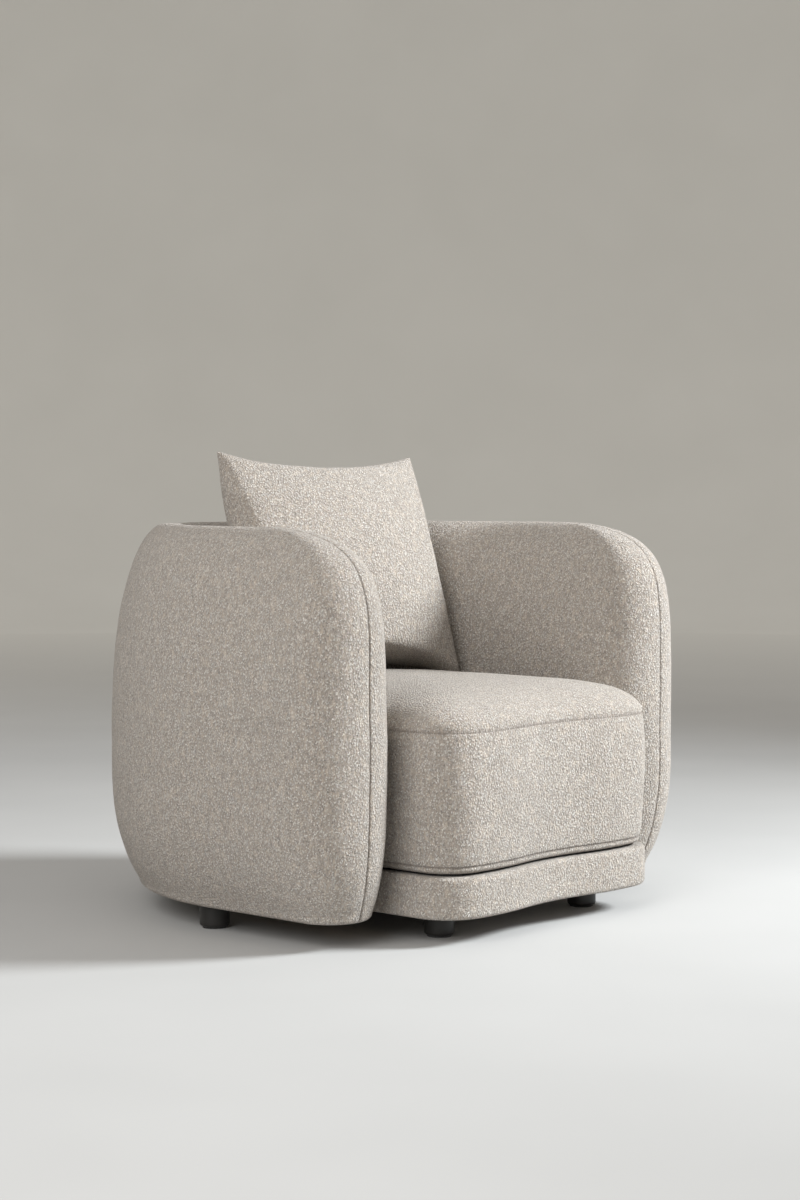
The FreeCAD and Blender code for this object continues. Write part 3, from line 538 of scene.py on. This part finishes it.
def wave_outline(half_width, reach, corner, lobe_offset, depth, back):
    """Segments of the outline from the right side round the front to the left side, as (centre, start, end)."""
    lobe_radius = (lobe_offset ** 2 + depth ** 2) / (4 * depth)
    lobe_y = lobe_radius - reach
    corner_x = half_width - corner
    corner_y = lobe_y - math.sqrt((lobe_radius - corner) ** 2 - (corner_x - lobe_offset) ** 2)
    valley = np.array([0, depth - reach - lobe_radius])
    right = []
    left = []
    for side, trail in ((1, right), (-1, left)):
        lobe = np.array([side * lobe_offset, lobe_y])
        turn = np.array([side * corner_x, corner_y])
        outward = (turn - lobe) / np.linalg.norm(turn - lobe)
        meeting = turn + outward * corner
        trough = (lobe + valley) / 2
        flank = np.array([side * half_width, corner_y])
        trail.append((None, np.array([side * half_width, back]), flank))
        trail.append((turn, flank, meeting))
        trail.append((lobe, meeting, trough))
    whole = right + [(valley, right[-1][2], left[-1][2])]
    return whole + [(centre, end, start) for centre, start, end in reversed(left)]


def trace(segments, counts):
    """Points along the segments, without each one's last."""
    points = []
    for (centre, start, end), count in zip(segments, counts):
        for step in range(count):
            share = step / count
            if centre is None:
                points.append(start + (end - start) * share)
                continue
            first = math.atan2(*(start - centre)[::-1])
            last = math.atan2(*(end - centre)[::-1])
            turn = (last - first + math.pi) % (2 * math.pi) - math.pi
            radius = np.linalg.norm(start - centre)
            angle = first + turn * share
            points.append(centre + radius * np.array([math.cos(angle), math.sin(angle)]))
    return points


def wave_sizes(half_width, inset):
    width = half_width - inset
    share = width / half_width
    corner = max(FRONT_CORNER - inset, 0.375 * FRONT_CORNER)
    return width, FRONT_REACH - inset, corner, LOBE_OFFSET * share, WAVE_DEPTH * share ** 2


def seat_ring(inset):
    width = SEAT_HALF - inset
    segments = wave_outline(*wave_sizes(SEAT_HALF, inset), SEAT_BACK_CENTRE)
    centre = np.array([0, SEAT_BACK_CENTRE])
    left = np.array([-width, SEAT_BACK_CENTRE])
    back = np.array([0, SEAT_BACK_CENTRE + width])
    right = np.array([width, SEAT_BACK_CENTRE])
    segments += [(centre, left, back), (centre, back, right)]
    return trace(segments, (36, 16, 24, 26, 24, 16, 36, 56, 56))


CROWN_SHARES = (0.003, 0.007, 0.013, 0.021, 0.032, 0.045, 0.06, 0.08, 0.105, 0.135, 0.17, 0.21,
                0.26, 0.32, 0.39, 0.47, 0.56, 0.66, 0.78, 0.9, 1.0)


def seat_rows():
    """Rows of (inset, height) from the underside's middle edge up over the crown."""
    under = float(SEAT_TUCK * (1 - smooth_step(0.0, *TUCK_FADE)))
    rows = [(under + SEAT_UNDER + 0.09, SEAT_LOW), (under + SEAT_UNDER + 0.03, SEAT_LOW),
            (under + SEAT_UNDER + 0.008, SEAT_LOW)]
    for turn in np.linspace(0, 1, 7):
        angle = math.pi / 2 * turn
        rows.append((under + SEAT_UNDER * (1 - math.sin(angle)),
                     SEAT_LOW + (LOW_SEAM - SEAT_LOW) * (1 - math.cos(angle))))
    rise = TOP_SEAM - LOW_SEAM
    steps = list(SEAM_STEPS[:6])
    steps += list(np.linspace(0.0165, rise - 0.0165, 22))
    steps += [rise - step for step in SEAM_STEPS[:6][::-1]]
    steps.append(rise)
    for step in steps:
        share = step / rise
        tuck = SEAT_TUCK * (1 - smooth_step(share, *TUCK_FADE))
        tuck += SEAM_INSET * smooth_step(share, *TOP_DRAW)
        rows.append((float(tuck), LOW_SEAM + step))
    for share in CROWN_SHARES:
        level = TOP_SEAM + CROWN * math.sqrt(1 - (1 - share) ** CROWN_POWER)
        rows.append((SEAM_INSET + share * CROWN_WIDTH, level))
    return rows


def closed_loft(rings, levels):
    """Vertices and faces of stacked rings, closed by shrinking the first and last to a point."""
    columns = len(rings[0])
    vertices = []
    for ring, level in zip(rings, levels):
        vertices += [(p[0], p[1], level) for p in ring]
    rows = len(rings)
    faces = ring_faces(rows, columns)
    for base, level, flip in ((0, levels[0], True), ((rows - 1) * columns, levels[-1], False)):
        ring = np.array(rings[0] if flip else rings[-1])
        centre = np.array([0, (ring[:, 1].min() + ring[:, 1].max()) / 2])
        start = base
        for share in (0.75, 0.5, 0.25):
            first = len(vertices)
            vertices += [(*(centre + (p - centre) * share), level) for p in ring]
            for column in range(columns):
                after = (column + 1) % columns
                quad = (start + column, start + after, first + after, first + column)
                faces.append(quad[::-1] if flip else quad)
            start = first
        tip = len(vertices)
        vertices.append((*centre, level))
        for column in range(columns):
            after = (column + 1) % columns
            triangle = (start + column, start + after, tip)
            faces.append(triangle[::-1] if flip else triangle)
    return np.array(vertices, float), [face[::-1] for face in faces]


def build_seat():
    rows = seat_rows()
    rings = [seat_ring(inset) for inset, _ in rows]
    vertices, faces = closed_loft(rings, [level for _, level in rows])
    normals = normals_of(vertices, faces)
    height = vertices[:, 2]
    side = np.zeros(len(vertices))
    columns = len(rings[0])
    under_inset = min(rows, key=lambda row: abs(row[1] - LOW_SEAM))[0]
    for index, (inset, level) in enumerate(rows):
        side[index * columns:(index + 1) * columns] = inset
    low = np.hypot(height - LOW_SEAM, np.maximum(side - under_inset, 0))
    top = np.hypot(height - TOP_SEAM, np.maximum(side - SEAM_INSET, 0))
    low[height < LOW_SEAM - 0.011] = 1
    top[len(rows) * columns:] = 1
    low[len(rows) * columns:] = 1
    depth = bump(top, 0.0018, 0.0016) + bump(top, 0.0010, 0.010)
    depth += bump(low, 0.0024, 0.0017) + bump(low, 0.0014, 0.009)
    sway = 0.0013 * soft_noise(vertices, 9.0, 3) + 0.0006 * soft_noise(vertices, 30.0, 4)
    sway *= np.clip((height - SEAT_LOW) / 0.03, 0, 1)
    around = np.abs(np.degrees(np.arctan2(vertices[:, 0], vertices[:, 1] - SEAT_BACK_CENTRE)))
    zip_band = (1 - smooth_step(around, 54, 62)) * (1 - smooth_step(np.abs(height - SEAT_ZIP), 0.014, 0.03))
    # The cover comes back out to the CAD surface where the zip lies on it
    shift = (sway - COVER_INSET) * (1 - zip_band) - depth + zip_band * (side - 0.0002)
    vertices = vertices + normals * shift[:, None]
    # Painted shade along the top and low seam grooves
    seam_shade_line = bump(top, 1.0, SEAM_LINE) + bump(low, 1.0, SEAM_LINE)
    return new_object("seat_cushion_upholstery", vertices, faces, boucle, seam_shade_line)


seat = build_seat()
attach(seat, "seat_cushion")
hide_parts("seat_foam_core", "seat_fibre_topper", "seat_bottom_panel", "seat_boxing", "seat_top_panel")


def build_plinth():
    rows = [(PLINTH_ROUND + 0.05, PLINTH_LOW), (PLINTH_ROUND + 0.02, PLINTH_LOW)]
    for turn in np.linspace(0, 1, 7):
        angle = math.pi / 2 * turn
        level = PLINTH_LOW + PLINTH_ROUND * (1 - math.cos(angle))
        rows.append((PLINTH_ROUND * (1 - math.sin(angle)), level))
    upright = PLINTH_HIGH - PLINTH_LOW - 2 * PLINTH_ROUND
    for share in np.linspace(0, 1, 9)[1:-1]:
        rows.append((0.0, PLINTH_LOW + PLINTH_ROUND + share * upright))
    for turn in np.linspace(0, 1, 7):
        angle = math.pi / 2 * turn
        level = PLINTH_HIGH - PLINTH_ROUND * (1 - math.sin(angle))
        rows.append((PLINTH_ROUND * (1 - math.cos(angle)), level))
    rows += [(PLINTH_ROUND + 0.02, PLINTH_HIGH), (PLINTH_ROUND + 0.05, PLINTH_HIGH)]
    rings = []
    for inset, _ in rows:
        segments = wave_outline(*wave_sizes(PLINTH_HALF, inset), PLINTH_BACK)
        segments.append((None, segments[-1][2], segments[0][1]))
        rings.append(trace(segments, (14, 16, 24, 26, 24, 16, 14, 40)))
    vertices, faces = closed_loft(rings, [level for _, level in rows])
    normals = normals_of(vertices, faces)
    height = vertices[:, 2]
    sway = 0.0009 * soft_noise(vertices, 12.0, 5) + 0.0005 * soft_noise(vertices, 30.0, 6)
    sway *= np.clip((height - PLINTH_LOW) / 0.02, 0, 1) * np.clip((PLINTH_HIGH - height) / 0.01, 0, 1)
    vertices = vertices + normals * (sway - PLINTH_INSET)[:, None]
    return new_object("plinth_upholstery", vertices, faces, boucle)


plinth = build_plinth()
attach(plinth, "frame")
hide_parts("plinth_cover", "plinth_padding")


# Scatter cushion: two square panels sewn at their edges, blown up as cloth

PILLOW_HALF_WIDTH = 0.224
PILLOW_HALF_HEIGHT = 0.216
PILLOW_LEAN = 21.0
PILLOW_TURN = 12.0
PANEL_STEPS = 64
CUT_HALF_WIDTH = 0.232
CUT_HALF_HEIGHT = 0.224
PILLOW_HALF_DEPTH = 0.089
PUFF = 0.075
SIDE_WAIST = 0.045
TOP_WAIST = 0.070
PRESSURE = 1.5
CLOTH_FRAMES = 24
EAR_REACH = 0.055
PILLOW_DROP = 0.006
SEAT_CLEARANCE = 0.001
WALL_CLEARANCE = 0.002
ZIP_LOW = (0.0460, -0.1775)
ZIP_HIGH = (0.0644, -0.1464)
ZIP_HALF = 0.152
EAR_PULLS = (((-0.224, 0.216), (0.010, 0.008)), ((0.224, 0.216), (-0.002, 0.000)),
             ((0.224, -0.216), (0.000, -0.014)), ((-0.224, -0.216), (0.004, -0.006)))


def sewn_panels():
    """Two crowned panels that share their edge points."""
    points = []
    index = {}
    faces = []
    for side in (1, -1):
        for row in range(PANEL_STEPS + 1):
            for column in range(PANEL_STEPS + 1):
                edge = row in (0, PANEL_STEPS) or column in (0, PANEL_STEPS)
                if edge and side == -1:
                    index[side, row, column] = index[1, row, column]
                    continue
                u = 2 * column / PANEL_STEPS - 1
                v = 2 * row / PANEL_STEPS - 1
                puff = PUFF * side * math.sqrt((1 - u * u) * (1 - v * v))
                across = u * CUT_HALF_WIDTH * (1 - SIDE_WAIST * (1 - v * v))
                along = v * CUT_HALF_HEIGHT * (1 - TOP_WAIST * (1 - u * u))
                index[side, row, column] = len(points)
                points.append((across, puff, along))
        for row in range(PANEL_STEPS):
            for column in range(PANEL_STEPS):
                quad = [index[side, row, column], index[side, row, column + 1],
                        index[side, row + 1, column + 1], index[side, row + 1, column]]
                faces.append(tuple(quad if side == -1 else quad[::-1]))
    return points, faces


def inflate(obj, pressure, frames):
    """Blow the sewn panels up as stiff cloth and return where their points end."""
    modifier = obj.modifiers.new("stuffing", "CLOTH")
    settings = modifier.settings
    settings.quality = 8
    settings.mass = 0.3
    settings.tension_stiffness = 40
    settings.compression_stiffness = 40
    settings.shear_stiffness = 20
    settings.bending_stiffness = 1
    settings.air_damping = 2
    settings.use_pressure = True
    settings.uniform_pressure_force = pressure
    settings.effector_weights.gravity = 0
    scene = bpy.context.scene
    scene.frame_start = 1
    scene.frame_end = frames
    modifier.point_cache.frame_start = 1
    modifier.point_cache.frame_end = frames
    for step in range(1, frames + 1):
        scene.frame_set(step)
    graph = bpy.context.evaluated_depsgraph_get()
    shaped = obj.evaluated_get(graph)
    places = np.array([v.co[:] for v in shaped.data.vertices])
    obj.modifiers.remove(modifier)
    scene.frame_set(1)
    return places


def lie_on_zip(places):
    """Bring the back panel on to the flat band that carries the zip."""
    slope = (ZIP_HIGH[0] - ZIP_LOW[0]) / (ZIP_HIGH[1] - ZIP_LOW[1])
    band = ZIP_LOW[0] + (places[:, 2] - ZIP_LOW[1]) * slope - 0.0009
    near = (1 - smooth_step(np.abs(places[:, 0]), ZIP_HALF + 0.012, ZIP_HALF + 0.05))
    middle = (ZIP_LOW[1] + ZIP_HIGH[1]) / 2
    near = near * (1 - smooth_step(np.abs(places[:, 2] - middle), 0.019, 0.045))
    near = near * (places[:, 1] > 0.012)
    places[:, 1] += near * (band - places[:, 1])


def keep_clear(places, obj, gap):
    """Push points out of a closed piece, to a gap from its surface."""
    tree = BVHTree.FromObject(obj, bpy.context.evaluated_depsgraph_get())
    for index, place in enumerate(places):
        found, normal, _, distance = tree.find_nearest(Vector(place), 0.06)
        if found is None:
            continue
        outside = (Vector(place) - found).dot(normal)
        if outside < gap:
            places[index] = found + normal * gap


def build_pillow():
    points, faces = sewn_panels()
    pillow = new_object("scatter_cushion_upholstery", points, faces, boucle)
    places = np.array(points)
    places = inflate(pillow, PRESSURE, CLOTH_FRAMES)
    reach = np.abs(places).max(axis=0)
    places[:, 0] *= PILLOW_HALF_WIDTH / reach[0]
    places[:, 2] *= PILLOW_HALF_HEIGHT / reach[2]
    places[:, 1] *= PILLOW_HALF_DEPTH / reach[1]
    for corner, pull in EAR_PULLS:
        gap = np.linalg.norm(places[:, [0, 2]] - np.array(corner), axis=1)
        places[:, [0, 2]] += np.exp(-(gap / EAR_REACH) ** 2)[:, None] * np.array(pull)
    lie_on_zip(places)
    low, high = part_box("pillow_front_panel")
    low_back, high_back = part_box("pillow_back_panel")
    centre = (np.minimum(low, low_back) + np.maximum(high, high_back)) / 2
    lean = Matrix.Rotation(math.radians(-PILLOW_LEAN), 3, "X")
    turn = Matrix.Rotation(math.radians(-PILLOW_TURN), 3, "Z") @ lean
    places = places @ np.array(turn).T + centre
    places[:, 2] -= PILLOW_DROP
    keep_clear(places, seat, SEAT_CLEARANCE)
    keep_clear(places, wall, WALL_CLEARANCE)
    for vertex, place in zip(pillow.data.vertices, places):
        vertex.co = place
    pillow.data.update()
    modifier = pillow.modifiers.new("smooth", "SUBSURF")
    modifier.levels = 1
    modifier.render_levels = 1
    return pillow


pillow = build_pillow()
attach(pillow, "scatter_cushion")
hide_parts("pillow_filling", "pillow_front_panel", "pillow_back_panel")


# Feet: turned black feet with an eased rim


FOOT_EDGE = 0.0045
FOOT_SIDES = 64


def turned_points(profile, centre, count):
    """Rings of points at each (reach, level), round an upright axis."""
    points = []
    for reach, level in profile:
        for step in range(count):
            angle = 2 * math.pi * step / count
            points.append((centre[0] + reach * math.cos(angle), centre[1] + reach * math.sin(angle), level))
    return points


def build_foot(node):
    low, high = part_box(node)
    low = np.array(low)
    high = np.array(high)
    centre = (low + high) / 2
    radius = (high - low)[0] / 2
    profile = [(radius * 0.55, low[2] + 0.0004), (radius - 0.0055, low[2])]
    for turn in np.linspace(0, 1, 8):
        angle = math.pi / 2 * turn
        level = low[2] + FOOT_EDGE * (1 - math.cos(angle))
        profile.append((radius - FOOT_EDGE * (1 - math.sin(angle)), level))
    profile += [(radius + 0.0001, low[2] + 0.014), (radius, high[2] - 0.003),
                (radius - 0.0004, high[2] - 0.0008), (radius - 0.0014, high[2])]
    vertices = turned_points(profile, centre, FOOT_SIDES)
    faces = ring_faces(len(profile), FOOT_SIDES)
    faces.append(tuple(range(FOOT_SIDES))[::-1])
    top = (len(profile) - 1) * FOOT_SIDES
    faces.append(tuple(range(top, top + FOOT_SIDES)))
    foot = new_object(node + "_turned", vertices, faces, foot_black)
    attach(foot, "frame")
    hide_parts(node)


for name in sorted(frame["nodes"]):
    if slot_of[name] == "foot":
        build_foot(name)


# Floor, backdrop, light and camera

STAGE_SIDES = 96
FLOOR_REACH = 8.0
BACKDROP_CURVE = 2.5
BACKDROP_TOP = 12.0
FLOOR_TONES = ((0.43, 0.427, 0.419), (0.45, 0.447, 0.439))
BACKDROP_TONES = ((0.70, 0.69, 0.65), (0.72, 0.71, 0.67))


def stage_material(name, colours, shown_only):
    """Pale matt paint. The backdrop shows to the camera but lets the studio's light through."""
    n = Nodes(name)
    wobble = n.noise(2.0, detail=2).outputs["Fac"]
    colour = n.mix(n.scale_range(wobble, 0.3, 0.7), *colours)
    if not shown_only:
        geometry = n.tree.nodes.new("ShaderNodeNewGeometry")
        reach = n.tree.nodes.new("ShaderNodeVectorMath")
        reach.operation = "LENGTH"
        n.put(reach.inputs[0], geometry.outputs["Position"])
        far = n.scale_range(reach.outputs["Value"], 2.5, FLOOR_REACH)
        colour = n.mix(far, colour, BACKDROP_TONES[0])
    material = n.finish(colour, 0.8, Specular_IOR_Level=0.1)
    if not shown_only:
        return material
    rays = n.tree.nodes.new("ShaderNodeLightPath")
    seen = n.math("MAXIMUM", rays.outputs["Is Camera Ray"], rays.outputs["Is Glossy Ray"])
    seen = n.math("MAXIMUM", seen, rays.outputs["Is Transmission Ray"])
    clear = n.tree.nodes.new("ShaderNodeBsdfTransparent")
    choice = n.tree.nodes.new("ShaderNodeMixShader")
    n.put(choice.inputs[0], seen)
    n.put(choice.inputs[1], clear.outputs[0])
    n.put(choice.inputs[2], n.shader.outputs[0])
    output = next(node for node in n.tree.nodes if node.type == "OUTPUT_MATERIAL")
    n.put(output.inputs["Surface"], choice.outputs[0])
    return material


def turned_stage(name, profile, material):
    """A piece of the stage, turned round the chair."""
    vertices = turned_points(profile, (0.0, 0.0), STAGE_SIDES)
    faces = [face[::-1] for face in ring_faces(len(profile), STAGE_SIDES)]
    obj = new_object(name, vertices, faces, material)


def build_stage():
    """A round floor that curves up into a backdrop all round."""
    paint = stage_material("stage_pale", FLOOR_TONES, False)
    turned_stage("stage_floor", [(0.001, 0.0), (2.0, 0.0), (5.0, 0.0), (FLOOR_REACH, 0.0)], paint)
    profile = []
    for turn in np.linspace(0, 1, 17):
        angle = math.pi / 2 * turn
        level = BACKDROP_CURVE * (1 - math.cos(angle))
        profile.append((FLOOR_REACH + BACKDROP_CURVE * math.sin(angle), level))
    profile.append((FLOOR_REACH + BACKDROP_CURVE, BACKDROP_TOP))
    paint = stage_material("stage_backdrop_pale", BACKDROP_TONES, True)
    turned_stage("stage_backdrop", profile, paint)


def area_light(name, place, target, size, power, colour=(1, 1, 1), spread=180):
    """A soft round lamp. A narrow spread, in degrees, keeps its light off the floor under it."""
    light = bpy.data.lights.new(name, "AREA")
    light.shape = "DISK"
    light.size = size
    light.energy = power
    light.color = colour
    light.spread = math.radians(spread)
    obj = bpy.data.objects.new(name, light)
    obj.location = place
    obj.rotation_euler = (Vector(target) - Vector(place)).to_track_quat("-Z", "Y").to_euler()
    bpy.context.scene.collection.objects.link(obj)


build_stage()
area_light("key", (2.75, -3.05, 2.75), (0, 0, 0.35), 1.3, 93, (0.92, 0.965, 1.0), 80)
area_light("fill", (-3.6, -1.2, 2.2), (0, 0, 0.4), 2.6, 105)
world = bpy.data.worlds.new("studio")
world.use_nodes = True
sky = world.node_tree.nodes["Background"]
sky.inputs["Color"].default_value = (1.0, 0.965, 0.915, 1)
sky.inputs["Strength"].default_value = 0.55
bpy.context.scene.world = world

camera_data = bpy.data.cameras.new("camera")
camera_data.sensor_fit = "VERTICAL"
camera_data.sensor_height = 36.0
camera_data.lens = 72.0
camera = bpy.data.objects.new("camera", camera_data)
camera.location = (-3.147, -2.881, 0.732)
pitch = math.radians(2.66)
look = Vector((0.7463 * math.cos(pitch), 0.6656 * math.cos(pitch), -math.sin(pitch)))
camera.rotation_mode = "QUATERNION"
camera.rotation_quaternion = look.to_track_quat("-Z", "Y")
bpy.context.scene.collection.objects.link(camera)
bpy.context.scene.camera = camera
bpy.context.scene.view_settings.view_transform = "Standard"
